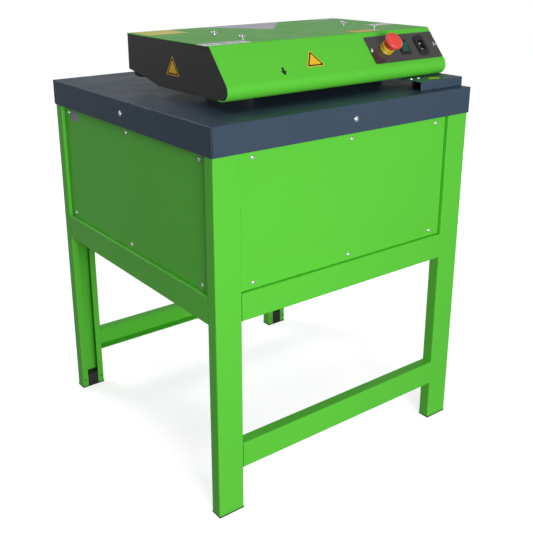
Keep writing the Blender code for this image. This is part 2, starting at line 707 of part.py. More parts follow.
def make_head_covers():
    inner = offset(hood_path(), HEAD_SHEET + GAP)
    belly = belly_line(0)
    under = [(HEAD_REAR_Y - MM, HEAD_TOP - HEAD_SHEET - GAP)]
    under += [tuple(p) for p in inner[1:]]
    under += [*belly, (HEAD_REAR_Y - MM, HEAD_REAR_Z)]
    for side, x, sign in (("left", HEAD_X[0], 1), ("right", HEAD_X[1], -1)):
        outer = x + sign * SIDE_RECESS
        faces = sorted((outer, outer + sign * HEAD_SHEET))
        finish(f"side_cover_{side}", prism(under, "X", *faces), BLACK, 0.4)

    inset = SIDE_RECESS + HEAD_SHEET + GAP
    inside = (HEAD_X[0] + inset, HEAD_X[1] - inset)
    base = belly_line(GAP) + list(reversed(belly_line(GAP + HEAD_SHEET)))
    made = finish("head_base", prism(base, "X", *inside), BLACK, 0.45)
    opening = box(
        CASSETTE_OPENING_X, cassette_y(CASSETTE_OPENING_SPARE), (HEAD_BELLY - PAST, HEAD_BELLY + PAST),
    )
    boolean(made, helper("cut_base_opening", opening))

    face = HEAD_REAR_Y - REAR_RECESS
    rear = box(inside, (face, face + HEAD_SHEET), (HEAD_REAR_Z + GAP, HEAD_TOP - HEAD_SHEET - GAP))
    made = finish("rear_cover", rear, BLACK, 0.45)
    for i in range(LOUVRES):
        x = inside[0] + (inside[1] - inside[0]) * (i + 1) / (LOUVRES + 1)
        ends = (x - LOUVRE_HALF_X, x + LOUVRE_HALF_X)
        slot = rounded_rectangle(ends, LOUVRE_Z, 2.9 * MM, 1)
        boolean(made, helper(f"cut_louvre_{i}", prism(slot, "Y", face - PAST, face + PAST)))


def make_hood_bolts():
    """Domed bolts that clamp the hood down on the bearing plates."""
    profile = [
        (0, -26 * MM), (3.9 * MM, -26 * MM), (3.9 * MM, GAP), (7.8 * MM, GAP),
        (7.8 * MM, 1.6 * MM), (6.9 * MM, 2 * MM), (6.7 * MM, 3.6 * MM), (5.6 * MM, 5.6 * MM),
        (3.2 * MM, 7.1 * MM), (0, 7.7 * MM),
    ]
    for side, x in (("left", PLATE_LEFT_X), ("right", PLATE_RIGHT_X)):
        for end, y in zip(("front", "rear"), bolt_rows()):
            name, bm = f"hood_bolt_{end}_{side}", turned(profile, 16)
            finish(name, bm, CHROME, 0.12, 1.0, smooth=True).location = (x, y, HEAD_TOP)


def make_rear_pads():
    """Rubber buffers under the head's rear corners."""
    kink_y, kink_z = BELLY_KINKS[1]
    slant = math.atan2(HEAD_REAR_Z - kink_z, HEAD_REAR_Y - kink_y)
    middle = HEAD_REAR_Y - 26 * MM
    profile = [
        (0, -9 * MM), (17 * MM, -9 * MM), (18.5 * MM, -7.5 * MM), (19 * MM, -2 * GAP), (0, -2 * GAP),
    ]
    for side, x in (("left", HEAD_X[0] + 22 * MM), ("right", HEAD_X[1] - 22 * MM)):
        pad = finish(f"rear_pad_{side}", turned(profile), RUBBER, 0.75, smooth=True)
        pad.location = (x, middle, kink_z + (middle - kink_y) * math.tan(slant))
        pad.rotation_euler = (slant, 0, 0)


def make_side_guide():
    """A folded cover on the table's right, open towards the card's path."""
    (x0, x1), (y0, y1) = GUIDE_X, GUIDE_Y
    low, high, t = TABLE_Z + GAP, HEAD_BELLY - GAP, HEAD_SHEET
    guide = finish("side_guide", box((x0, x1), (y0, y1), (low, high)), SLATE, 0.4)
    inside = box((x0 - PAST, x1 - t), (y0 + t, y1 + PAST), (low - PAST, high - t))
    boolean(guide, helper("cut_guide", inside))


# ---- Controls --------------------------------------------------------------------------
def make_control_plate():
    half_x = (PANEL_PLATE_X[1] - PANEL_PLATE_X[0]) / 2
    half_s = (PANEL_PLATE_S[1] - PANEL_PLATE_S[0]) / 2
    middle_x, middle_s = sum(PANEL_PLATE_X) / 2, sum(PANEL_PLATE_S) / 2
    plate = prism(
        rounded_rectangle((-half_x, half_x), (-half_s, half_s), 3 * MM, 2), "Z", 0, PANEL_PLATE_T,
    )
    plate = on_slope(finish("control_plate", plate, PLATE_BROWN, 0.5), middle_x, middle_s, GAP)
    through = (-PAST, PAST)
    cuts = (
        ("estop", ESTOP_X, prism(circle(11.4 * MM), "Z", *through)),
        ("rocker", ROCKER_X, box((-11.4 * MM, 11.4 * MM), (-14.9 * MM, 14.9 * MM), through)),
        ("inlet", INLET_X, box((-10.9 * MM, 10.9 * MM), (-14.4 * MM, 14.4 * MM), through)),
    )
    for name, x, cutter in cuts:
        boolean(plate, on_slope(helper(f"cut_plate_{name}", cutter), x, CONTROL_S, 0))


def face_height():
    """How far the control plate's face stands off the hood."""
    return GAP + PANEL_PLATE_T


def make_emergency_stop():
    """Collar, stem, mushroom cap and the contact block behind the plate."""
    base = face_height() + GAP
    collar = turned([
        (ESTOP_BORE_R, -14 * MM), (11 * MM, -14 * MM), (11 * MM, 0), (15 * MM, 0),
        (15.5 * MM, 0.5 * MM), (15.5 * MM, 3.5 * MM), (15 * MM, 4 * MM), (15 * MM, 11.5 * MM),
        (14.5 * MM, 12 * MM), (ESTOP_POCKET_R, 12 * MM), (ESTOP_POCKET_R, 4 * MM), (ESTOP_BORE_R, 4 * MM),
    ], ring=True)
    collar = finish("estop_collar", collar, YELLOW, 0.4, smooth=True)
    on_slope(collar, ESTOP_X, CONTROL_S, base)
    stem_top = 24 * MM
    stem = turned([
        (0, ESTOP_STEM_END), (ESTOP_STEM_R, ESTOP_STEM_END), (ESTOP_STEM_R, stem_top), (0, stem_top),
    ])
    on_slope(finish("estop_stem", stem, RUBBER, 0.5, smooth=True), ESTOP_X, CONTROL_S, base)
    cap = turned([
        (ESTOP_BORE_R, 17 * MM), (10.8 * MM, 17 * MM), (10.8 * MM, ESTOP_SKIRT_END),
        (12.7 * MM, ESTOP_SKIRT_END), (12.9 * MM, 17 * MM), (15 * MM, 22.5 * MM), (19 * MM, 24.4 * MM),
        (20 * MM, 25.8 * MM), (20 * MM, 29.5 * MM), (18.6 * MM, 31.8 * MM), (12 * MM, 33.7 * MM),
        (0, 34.5 * MM), (0, stem_top + GAP), (ESTOP_BORE_R, stem_top + GAP),
    ], 32)
    close_cap_bore(cap)
    on_slope(finish("estop_cap", cap, RED, 0.35, smooth=True), ESTOP_X, CONTROL_S, base)
    block_top = ESTOP_STEM_END - ESTOP_TRAVEL - GAP
    block = box((-14 * MM, 14 * MM), (-15 * MM, 15 * MM), (block_top - 27 * MM, block_top))
    on_slope(finish("estop_contact_block", block, PLATE_BROWN, 0.5), ESTOP_X, CONTROL_S, base)


def close_cap_bore(bm):
    """Joins the cap's skirt to its bore, the one stretch that the spin leaves open."""
    open_edges = [edge for edge in bm.edges if edge.is_boundary]
    bmesh.ops.bridge_loops(bm, edges=open_edges)


def make_rocker():
    base = face_height() + GAP
    frame = box((-13.5 * MM, 13.5 * MM), (-17.5 * MM, 17.5 * MM), (0, 2.2 * MM))
    frame = finish("rocker_frame", frame, BLACK, 0.4)
    body = box((-11 * MM, 11 * MM), (-14.5 * MM, 14.5 * MM), (-24 * MM, 1 * MM))
    well = box((-9.5 * MM, 9.5 * MM), (-13 * MM, 13 * MM), (-15 * MM, 9 * MM))
    body = on_slope(helper("join_rocker_body", body), ROCKER_X, CONTROL_S, base)
    well = on_slope(helper("cut_rocker_well", well), ROCKER_X, CONTROL_S, base)
    boolean(frame, body, "UNION")
    boolean(frame, well)
    on_slope(frame, ROCKER_X, CONTROL_S, base)

    half = 10.9 * MM
    outline = [
        (-half, 5 * MM), (-half * 0.55, -3 * MM), (half * 0.55, -3 * MM), (half, 5 * MM),
        (half, 10.2 * MM), (half * 0.5, 9.0 * MM), (0, 8.5 * MM), (-half * 0.5, 9.0 * MM),
        (-half, 10.2 * MM),
    ]
    button = prism(outline, "X", -9 * MM, 9 * MM)
    button = finish("rocker_button", button, TEAL, 0.2)
    on_slope(button, ROCKER_X, CONTROL_S, base + ROCKER_PIVOT)
    button.rotation_euler.x += math.radians(ROCKER_TILT)


def make_power_inlet():
    """A flanged appliance inlet: an open socket with three flat pins."""
    base = face_height() + GAP
    flange = rounded_rectangle((-14 * MM, 14 * MM), (-24 * MM, 24 * MM), 7 * MM, 3)
    flange = prism(flange, "Z", 0, 3 * MM)
    inlet = finish("power_inlet", flange, BLACK, 0.45)
    body = box((-10.5 * MM, 10.5 * MM), (-14 * MM, 14 * MM), (-22 * MM, 1 * MM))
    socket = prism([
        (-8 * MM, -9 * MM), (-5 * MM, -12 * MM), (8 * MM, -12 * MM), (8 * MM, 12 * MM),
        (-5 * MM, 12 * MM), (-8 * MM, 9 * MM),
    ], "Z", -14 * MM, PAST)
    pieces = [
        (helper("join_inlet_body", body), "UNION"),
        (helper("cut_inlet_socket", socket), "DIFFERENCE"),
    ]
    for i, (x, y) in enumerate(((3.5, -7.0), (3.5, 7.0), (-3.0, 0.0))):
        pin = box(((x - 2) * MM, (x + 2) * MM), ((y - 1) * MM, (y + 1) * MM), (-16 * MM, -3 * MM))
        pieces.append((helper(f"join_pin_{i}", pin), "UNION"))
    for obj, operation in pieces:
        on_slope(obj, INLET_X, CONTROL_S, base)
        boolean(inlet, obj, operation)
    on_slope(inlet, INLET_X, CONTROL_S, base)


def main():
    clear_scene()
    make_table_top()
    make_legs()
    make_rails()
    make_top_frame()
    make_panels()

    make_bearing_plates()
    make_shaft("upper_shaft", UPPER_Z, GEAR_X + 15 * MM)
    make_shaft("lower_shaft", LOWER_Z, CHAIN_X + 12 * MM)
    make_roller("upper_cutter_roller", UPPER_Z, 0)
    make_roller("lower_cutter_roller", LOWER_Z, 1)
    make_timing_gears()
    comb("bed_comb", (TABLE_Z - COMB_T, TABLE_Z), 36 * MM, 1, STEEL)
    comb("upper_comb", (HEAD_BELLY + GAP, HEAD_BELLY + GAP + COMB_T), 41 * MM, 0, STEEL)
    make_sprockets()
    make_chain()
    make_motor()

    make_hood()
    make_head_covers()
    make_hood_bolts()
    make_rear_pads()
    make_side_guide()
    make_control_plate()
    make_emergency_stop()
    make_rocker()
    make_power_inlet()


main()
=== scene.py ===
"""Looks of the cardboard perforator: paint, fine edges, fasteners and labels round the CAD frame.

Metres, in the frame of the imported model: +X to the operator's right, +Y away from the operator.
"""

import json
import math

import bmesh
import bpy
from mathutils import Matrix, Vector


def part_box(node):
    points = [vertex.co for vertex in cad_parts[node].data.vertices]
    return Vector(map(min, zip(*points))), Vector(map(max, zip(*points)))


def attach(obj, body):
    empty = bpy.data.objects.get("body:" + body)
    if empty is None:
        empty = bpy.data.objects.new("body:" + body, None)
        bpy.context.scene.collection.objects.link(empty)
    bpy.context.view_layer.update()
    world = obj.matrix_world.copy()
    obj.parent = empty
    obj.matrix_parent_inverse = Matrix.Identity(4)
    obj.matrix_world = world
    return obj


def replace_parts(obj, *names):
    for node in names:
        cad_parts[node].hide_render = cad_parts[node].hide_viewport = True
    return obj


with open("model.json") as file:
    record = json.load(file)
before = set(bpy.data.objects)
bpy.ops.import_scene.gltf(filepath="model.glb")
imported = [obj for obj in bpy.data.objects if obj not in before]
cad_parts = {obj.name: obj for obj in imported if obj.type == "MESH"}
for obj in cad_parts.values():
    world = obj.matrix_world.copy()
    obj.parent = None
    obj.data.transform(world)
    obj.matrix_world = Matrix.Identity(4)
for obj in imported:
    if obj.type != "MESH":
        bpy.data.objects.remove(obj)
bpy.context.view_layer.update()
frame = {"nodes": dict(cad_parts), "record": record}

MM = 0.001
PLATE_T = 1.5 * MM  # thickness of the control plate
CLEARANCE = 0.3 * MM  # between neighbouring parts of the CAD

# Fasteners
PANEL_SCREW_INSET_FRONT = 30 * MM  # from the upright edges of the front and rear panels
PANEL_SCREW_INSET_SIDE = 25 * MM  # from the upright edges of the side panels
PANEL_SCREW_ROW = 11 * MM  # from a panel's top or bottom edge
RIM_SCREW_HEIGHT = 28 * MM  # above the rim's lower edge
SCREW_TURN = 37  # degrees from one screw's socket to the next one's
WASHER_T = 1.1 * MM
NUT_STACK = (  # shape, radius and height in millimetres, from the flange up to the dome's foot
    ("circle", 7.7, 0.0), ("circle", 7.7, 1.1), ("circle", 7.3, 1.5),
    ("hexagon", 7.2, 1.6), ("hexagon", 7.2, 3.0), ("circle", 6.2, 3.3),
)
NUT_DOME, NUT_DOME_FOOT, NUT_DOME_RISE = 6.2, 3.3, 4.1  # radius and heights in millimetres
SHANK_RADIUS, SHANK_LENGTH = 3.9 * MM, 25 * MM
RIVET = ((2.1, -0.4), (2.1, 0.1), (1.2, 0.45))  # radius and height in millimetres
RIVET_INSET, RIVET_HEIGHT = 8 * MM, 18 * MM
GUIDE_SCREW_INSETS, GUIDE_SCREW_Y = (12 * MM, 34 * MM), -268 * MM
CONTROL_SCREW_X = (132 * MM, 320.5 * MM)

# Strips and tabs that close the gaps between the sheets and the legs; the strips are dark to paint
# the shade in those gaps
STRIP_W, STRIP_T, STRIP_GAP = 4.0 * MM, 1.0 * MM, 0.1 * MM
RAIL_SHEET = 2.5 * MM
TAB_FOOT, TAB_TOP = 3.5 * MM, 52.5 * MM  # above the rail's lower edge
PANELS = (  # node, axis along its width, outward direction
    ("panel_front", 0, (0, -1, 0)), ("panel_rear", 0, (0, 1, 0)),
    ("panel_left", 1, (-1, 0, 0)), ("panel_right", 1, (1, 0, 0)),
)
RAILS = (  # node, axis along its length, outward direction
    ("rail_front_lower", 0, (0, -1, 0)), ("rail_rear_lower", 0, (0, 1, 0)),
    ("rail_front_upper", 0, (0, -1, 0)), ("rail_rear_upper", 0, (0, 1, 0)),
    ("rail_left_upper", 1, (-1, 0, 0)), ("rail_right_upper", 1, (1, 0, 0)),
)

# Labels.  Tables of plain numbers are in millimetres
SKIN = 0.15 * MM  # thickness of a label
LABEL_EDGE = 0.05 * MM  # softening of a label's upper edge
LABEL_GAP = 0.02 * MM  # between a label and the face it lies on
SLOPE_LABEL = -PLATE_T - 0.28 * MM  # height of the slope's labels from the control plate's face
HOOD_STICKERS = (  # name, film, middle x, middle y, width, depth
    ("label_rear_left", "yellow", -197.5, 70, 95, 78),
    ("label_front_left", "white", -206, -183.5, 108, 35),
    ("label_rear_right", "silver", 292, 97, 72, 26),
    ("label_front_right", "amber", 159, -177.5, 74, 33),
    ("label_right", "white", 295, -91, 64, 30),
)
SILVER_TRIANGLE = ((-65, 107), (37, -23), (150, 107))  # its corners
BARS = ((-236, -184, 22), (-180, -184, 22), (-208, -177, 20), (-208, -190, 20))  # x, y, width
BAR_DEPTH, BAR_T = 4 * MM, 0.08 * MM
SLOPE_TRIANGLE = (-31, -2, 47, 38)  # x, distance uphill, width, height
COVER_TRIANGLE = (-71, 868.5, 50, 39)  # y, z, width, height
TRIANGLE_CENTRE = 0.16  # drop from the middle of a triangle's height to its centre, as a part of it
TRIANGLE_LAYER = 0.1 * MM
ARROW = ((-2.5, 9), (2.5, 9), (2.5, 1), (7, 1), (0, -9), (-7, 1), (-2.5, 1))
ARROW_X, ARROW_UPHILL = -114 * MM, -24 * MM
OVAL_POINTS, OVAL_HALF_W, OVAL_HALF_D = 48, 16.5 * MM, 9 * MM  # the oval on the side guide
OVAL_X, OVAL_INSET = 269.5 * MM, 22 * MM  # the inset is from the guide's front end
BLANK_W, BLANK_H = 36 * MM, 20 * MM  # the blank plate on the left panel
BLANK_Y, BLANK_DROP = 248 * MM, 17 * MM  # the drop is from the panel's top edge
SEAM_W, SEAM_H, SEAM_T = 0.8 * MM, 52 * MM, 0.05 * MM  # the seams at the table's corners
SEAM_INSET, SEAM_HEIGHT = 1.6 * MM, 27.5 * MM  # from the table's side and from its lower edge

# Controls, with the profiles' radii and heights in millimetres
CONTROL_BASE = 0.3 * MM  # the controls' undersides above the control plate's face
COLLAR = (
    (6.6, -14), (11, -14), (11, 0), (15.4, 0), (15.6, 0.4), (15.6, 3.6), (15.2, 4.0), (13.9, 4.1),
    (13.9, 5.0), (15.0, 5.1), (15.2, 5.5), (15.1, 11.2), (14.7, 11.8), (14.2, 12), (13.4, 12),
    (13.1, 11.6), (13.1, 4), (6.6, 4),
)
# a black band that sits in the collar's groove and paints the groove's shade
COLLAR_BAND = ((13.95, 4.2), (14.6, 4.2), (14.6, 4.95), (13.95, 4.95))
MUSHROOM = (
    (10.8, 10.0), (12.5, 10.0), (12.7, 10.4), (12.9, 17), (13.6, 20.5), (15.4, 22.8), (18.2, 24.0),
    (19.4, 24.6), (19.95, 25.8), (20, 28.8), (19.6, 30.6), (18.6, 31.8), (16.5, 32.7), (12, 33.7),
    (6, 34.3), (0, 34.5), (0, 24.4), (6.6, 24.4), (6.6, 22), (10.8, 20),
)
STOP_SIDES = 72
PIN_PLACES = ((3.5, -7.0), (3.5, 7.0), (-3.0, 0.0))  # millimetres across and uphill
PIN_W, PIN_T, PIN_LENGTH = 4.4 * MM, 2.4 * MM, 11.4 * MM
PIN_FOOT = -13.9 * MM  # the pins' lower ends, from the height of CONTROL_BASE

# Stage
FLOOR_RADIUS, BACKDROP_RADIUS = 30.0, 40.0
FLOOR_GLOW, FLOOR_GLOW_REACH = (0.67, 0.86), (0.9, 2.6)  # strength, and metres from the middle
# The walls' bands: a height from 0 at the bottom of the sphere to 1 at its top, and a glow
BACKDROP_GLOW = ((0.485, 0.27), (0.49, 0.90), (0.60, 0.80), (0.76, 0.50))
REFLECTED_GLOW = (
    (0.48, 0.27), (0.49, 0.50), (0.53, 0.42), (0.575, 0.50), (0.61, 0.34), (0.69, 0.34),
    (0.76, 0.27),
)
WORLD_COLOUR, WORLD_STRENGTH = (0.95, 0.97, 1.0, 1.0), 0.165
LIGHTS = (  # name, place, target, size, power
    ("front_softbox", (-0.75, -3.2, 1.10), (0.0, 0.0, 0.45), (1.7, 1.2), 96),
    ("top_softbox", (0.2, 0.0, 3.6), (0.0, 0.0, 0.8), (2.4, 2.4), 14),
    ("rim_softbox", (-1.3, 2.9, 2.5), (0.0, 0.0, 0.7), (1.3, 1.0), 36),
    ("right_softbox", (3.2, 0.5, 0.8), (0.0, 0.0, 0.5), (1.5, 1.1), 22),
)
CAMERA_PLACE = (-1.0746, -1.4490, 1.0872)
CAMERA_YAW, CAMERA_PITCH, CAMERA_ROLL = 0.6319, 0.3184, -0.0065  # radians
CAMERA_LENS, CAMERA_SENSOR, CAMERA_SHIFT = 54.3, 36.0, (0.031, -0.100)
CAMERA_CLIP = (0.05, 300.0)


# ---- Places read from the frame ----------------------------------------------------------
def middle(node):
    """The middle of a node's box."""
    low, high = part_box(node)
    return (Vector(low) + Vector(high)) / 2


TABLE_LOW, TABLE_HIGH = (Vector(corner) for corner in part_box("table_top"))
HOOD_HIGH = Vector(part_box("hood")[1])
PLATE = middle("control_plate")
BODY_OF = {
    node: body
    for body, nodes in frame["record"]["behaviour"]["bodies"].items()
    for node in nodes
}


def slope_normal():
    """The outward normal of the hood's sloping front, from the control plate's largest face."""
    mesh = frame["nodes"]["control_plate"].data
    largest = max(mesh.polygons, key=lambda face: face.area)
    normal = Vector(largest.normal)
    return normal if normal.z > 0 else -normal


NORMAL = slope_normal()
ACROSS = Vector((1, 0, 0))
UPHILL = NORMAL.cross(ACROSS)


def slope_matrix(x, uphill, height):
    """A frame on the slope, placed by the world's x, by the distance uphill from the control
    plate's middle and by the height over its face."""
    origin = PLATE + UPHILL * uphill + NORMAL * (height + PLATE_T / 2)
    origin.x = x
    turn = Matrix((ACROSS, UPHILL, NORMAL)).transposed().to_4x4()
    return Matrix.Translation(origin) @ turn


def facing(direction, place):
    """A frame at a place whose local Z points along a direction, with local Y kept upward."""
    z = Vector(direction).normalized()
    up = Vector((0, 0, 1)) if abs(z.z) < 0.9 else Vector((0, 1, 0))
    x = up.cross(z).normalized()
    turn = Matrix((x, z.cross(x), z)).transposed().to_4x4()
    return Matrix.Translation(Vector(place)) @ turn


# ---- Materials ---------------------------------------------------------------------------
class Finish:
    """A material under construction: a Principled shader and nodes in object coordinates."""

    def __init__(self, name, colour, roughness, metallic=0.0):
        self.material = bpy.data.materials.new(name)
        self.material.use_nodes = True
        self.tree = self.material.node_tree
        self.shader = self.tree.nodes["Principled BSDF"]
        self.roughness = roughness
        self.set("Base Color", (*colour, 1.0))
        self.set("Roughness", roughness)
        self.set("Metallic", metallic)
        self.coords = self.tree.nodes.new("ShaderNodeTexCoord").outputs["Object"]
        self.height = None

    def set(self, socket, value):
        """Sets a constant on one of the shader's sockets.  Calls can be chained."""
        self.shader.inputs[socket].default_value = value
        return self

    def link(self, output, target):
        self.tree.links.new(output, target)

    def stretched(self, scale):
        """Object coordinates scaled per axis, which draws a texture out along one of them."""
        mapping = self.tree.nodes.new("ShaderNodeMapping")
        mapping.inputs["Scale"].default_value = scale
        self.link(self.coords, mapping.inputs["Vector"])
        return mapping.outputs["Vector"]

    def noise(self, scale, detail, rough=0.55, vector=None):
        node = self.tree.nodes.new("ShaderNodeTexNoise")
        node.inputs["Scale"].default_value = scale
        node.inputs["Detail"].default_value = detail
        node.inputs["Roughness"].default_value = rough
        self.link(vector or self.coords, node.inputs["Vector"])
        return node.outputs["Fac"]

    def spread(self, value, low, high, start=0.35, end=0.65):
        """Maps a texture's middle range onto the range from low to high."""
        node = self.tree.nodes.new("ShaderNodeMapRange")
        for socket, number in (
            ("From Min", start), ("From Max", end), ("To Min", low), ("To Max", high),
        ):
            node.inputs[socket].default_value = number
        self.link(value, node.inputs["Value"])
        return node.outputs["Result"]

    def tint(self, factor, other, amount):
        """Blends the colour so far towards another, by a texture times an amount."""
        node = self.tree.nodes.new("ShaderNodeMix")
        node.data_type = "RGBA"
        scaled = self.spread(factor, 0.0, amount)
        self.link(scaled, node.inputs["Factor"])
        source = self.shader.inputs["Base Color"]
        if source.is_linked:
            self.link(source.links[0].from_socket, node.inputs["A"])
        else:
            node.inputs["A"].default_value = source.default_value
        node.inputs["B"].default_value = (*other, 1.0)
        self.link(node.outputs["Result"], source)

    def vary_roughness(self, factor, swing):
        """Swings the roughness about its own value, by a texture."""
        self.link(
            self.spread(factor, self.roughness - swing, self.roughness + swing),
            self.shader.inputs["Roughness"],
        )

    def bump(self, factor, depth, strength=1.0):
        """Adds relief of a depth in metres on top of any relief so far."""
        node = self.tree.nodes.new("ShaderNodeBump")
        node.inputs["Distance"].default_value = depth
        node.inputs["Strength"].default_value = strength
        self.link(factor, node.inputs["Height"])
        if self.height is not None:
            self.link(self.height, node.inputs["Normal"])
        self.height = node.outputs["Normal"]
        self.link(self.height, self.shader.inputs["Normal"])


def shade(colour, part):
    """The same colour made darker."""
    return tuple(c * part for c in colour)


def powder_coat(name, colour, roughness, grain, peel):
    """Baked paint: faint clouds of colour, an orange-peel skin, the waviness of rolled sheet."""
    made = Finish(name, colour, roughness)
    made.tint(made.noise(2.5, 2.0), shade(colour, 0.90), 0.5)
    made.tint(made.noise(grain, 4.0, 0.7), shade(colour, 0.80), 0.25)
    made.vary_roughness(made.noise(14.0, 3.0), 0.04)
    made.bump(made.noise(2.6, 1.0), 0.8 * MM, 0.3)
    made.bump(made.noise(420.0, 2.0), peel)
    return made


def green_paint():
    made = powder_coat("green_powder_coat", (0.108, 0.600, 0.040), 0.36, 500.0, 0.012 * MM)
    made.set("Specular IOR Level", 0.32).set("Coat Weight", 0.06).set("Coat Roughness", 0.18)
    return made.material


def slate_paint():
    made = powder_coat("slate_powder_coat", (0.046, 0.075, 0.113), 0.36, 1300.0, 0.02 * MM)
    made.set("Specular IOR Level", 0.20).set("Coat Weight", 0.02).set("Coat Roughness", 0.2)
    return made.material


def black_paint():
    colour = (0.016, 0.016, 0.0165)
    return powder_coat("black_powder_coat", colour, 0.42, 800.0, 0.015 * MM).material


def control_plate_paint():
    made = powder_coat("control_plate_paint", (0.050, 0.043, 0.042), 0.20, 1200.0, 0.003 * MM)
    made.set("Specular IOR Level", 0.8).set("Coat Weight", 0.6).set("Coat Roughness", 0.05)
    return made.material


def metal(name, colour, roughness, along=None):
    """Bare metal: lines left by grinding or brushing along one axis, stains and dull patches."""
    made = Finish(name, colour, roughness, 1.0)
    scale = {None: (220, 220, 220), "X": (12, 700, 700), "Y": (700, 12, 700)}[along]
    lines = made.noise(1.0, 3.0, 0.6, made.stretched(scale))
    made.tint(made.noise(30.0, 4.0), shade(colour, 0.6), 0.25)
    made.vary_roughness(lines, 0.08)
    made.bump(lines, 0.02 * MM)
    return made.material


def oiled_steel():
    made = Finish("oiled_steel", (0.20, 0.20, 0.21), 0.30, 1.0)
    made.tint(made.noise(45.0, 5.0, 0.65), (0.055, 0.048, 0.040), 0.65)
    made.vary_roughness(made.noise(120.0, 4.0), 0.12)
    made.bump(made.noise(900.0, 3.0), 0.03 * MM)
    return made.material


def chrome():
    made = Finish("bright_plating", (0.78, 0.79, 0.81), 0.09, 1.0)
    made.tint(made.noise(160.0, 4.0), (0.55, 0.56, 0.60), 0.2)
    made.vary_roughness(made.noise(300.0, 4.0), 0.04)
    made.bump(made.noise(500.0, 2.0), 0.01 * MM)
    return made.material


def zinc():
    made = Finish("zinc_plating", (0.84, 0.85, 0.88), 0.42, 1.0)
    made.tint(made.noise(240.0, 5.0, 0.7), (0.60, 0.61, 0.66), 0.4)
    made.vary_roughness(made.noise(420.0, 4.0), 0.08)
    made.bump(made.noise(1500.0, 3.0), 0.015 * MM)
    return made.material


def tinned():
    made = Finish("tinned_blades", (0.80, 0.80, 0.82), 0.5, 0.4)
    made.tint(made.noise(300.0, 4.0), (0.60, 0.60, 0.62), 0.4)
    made.vary_roughness(made.noise(500.0, 3.0), 0.08)
    made.bump(made.noise(1500.0, 3.0), 0.01 * MM)
    return made.material


def rubber():
    made = Finish("black_rubber", (0.013, 0.013, 0.0135), 0.68)
    made.tint(made.noise(60.0, 5.0), (0.035, 0.034, 0.032), 0.35)
    made.vary_roughness(made.noise(240.0, 4.0), 0.10)
    made.bump(made.noise(1400.0, 3.0), 0.05 * MM)
    return made.material


def plastic(name, colour, roughness, grain=1600.0, depth=0.02 * MM):
    """Moulded plastic with fine spark texture and faint flow marks."""
    made = Finish(name, colour, roughness)
    made.tint(made.noise(70.0, 3.0), shade(colour, 0.75), 0.3)
    made.vary_roughness(made.noise(180.0, 3.0), 0.05)
    made.bump(made.noise(grain, 2.0), depth)
    return made


def red_plastic():
    made = plastic("red_plastic", (0.86, 0.075, 0.060), 0.34)
    made.set("Subsurface Weight", 0.12).set("Subsurface Scale", 2 * MM)
    made.set("Subsurface Radius", (1.0, 0.25, 0.2))
    return made.material


def yellow_plastic():
    made = plastic("yellow_plastic", (0.80, 0.56, 0.015), 0.28)
    made.set("Coat Weight", 0.3).set("Coat Roughness", 0.1)
    return made.material


def teal_plastic():
    made = plastic("teal_lens_plastic", (0.006, 0.115, 0.088), 0.20, 900.0, 0.008 * MM)
    made.set("Transmission Weight", 0.25).set("IOR", 1.49)
    made.set("Coat Weight", 0.3).set("Coat Roughness", 0.12)
    return made.material


def black_plastic():
    colour = (0.017, 0.017, 0.018)
    return plastic("black_moulded_plastic", colour, 0.38, 1100.0, 0.03 * MM).material


def enamel(name, colour, roughness=0.4):
    """Brushed enamel on a casting: patches, grime and a coarse surface."""
    made = Finish(name, colour, roughness)
    made.tint(made.noise(9.0, 4.0), shade(colour, 0.6), 0.5)
    made.tint(made.noise(60.0, 6.0, 0.7), (0.10, 0.10, 0.10), 0.12)
    made.vary_roughness(made.noise(40.0, 4.0), 0.1)
    made.bump(made.noise(260.0, 4.0), 0.12 * MM)
    return made.material


def label(name, colour, roughness=0.34):
    """Printed film: slightly aged patches and a fine emboss."""
    made = Finish(name, colour, roughness)
    made.set("Specular IOR Level", 0.15)
    made.tint(made.noise(25.0, 3.0), shade(colour, 0.95), 0.5)
    made.vary_roughness(made.noise(60.0, 3.0), 0.04)
    made.bump(made.noise(300.0, 2.0), 0.004 * MM)
    return made.material


def floor_finish():
    """Pale studio floor with a glow of its own that grows away from the object."""
    made = Finish("pale_floor", (0.72, 0.72, 0.725), 0.75)
    made.tint(made.noise(1.2, 3.0), (0.70, 0.70, 0.705), 0.5)
    made.vary_roughness(made.noise(4.0, 3.0), 0.05)
    made.set("Emission Color", (1.0, 1.0, 1.0, 1.0))
    reach = made.tree.nodes.new("ShaderNodeVectorMath")
    reach.operation = "LENGTH"
    made.link(made.coords, reach.inputs[0])
    glow = made.spread(reach.outputs["Value"], *FLOOR_GLOW, *FLOOR_GLOW_REACH)
    made.link(glow, made.shader.inputs["Emission Strength"])
    return made.material


def wall_finish(name, bands):
    """A studio wall whose glow changes with height.  Each band is a height and a glow."""
    made = Finish(name, (0.1, 0.1, 0.1), 0.9)
    made.set("Emission Color", (1.0, 1.0, 1.0, 1.0))
    split = made.tree.nodes.new("ShaderNodeSeparateXYZ")
    made.link(made.coords, split.inputs["Vector"])
    height = made.spread(split.outputs["Z"], 0.0, 1.0, -BACKDROP_RADIUS, BACKDROP_RADIUS)
    ramp = made.tree.nodes.new("ShaderNodeValToRGB")
    made.link(height, ramp.inputs["Fac"])
    stops = ramp.color_ramp.elements
    (bottom, first), *between, (top, last) = bands
    stops[0].position, stops[1].position = bottom, top
    stops[0].color = (first, first, first, 1.0)
    stops[1].color = (last, last, last, 1.0)
    for position, glow in between:
        stops.new(position).color = (glow, glow, glow, 1.0)
    made.link(ramp.outputs["Color"], made.shader.inputs["Emission Strength"])
    return made.material


# ---- Mesh helpers ------------------------------------------------------------------------
def in_metres(points):
    """Pairs of numbers given in millimetres."""
    return [(a * MM, b * MM) for a, b in points]


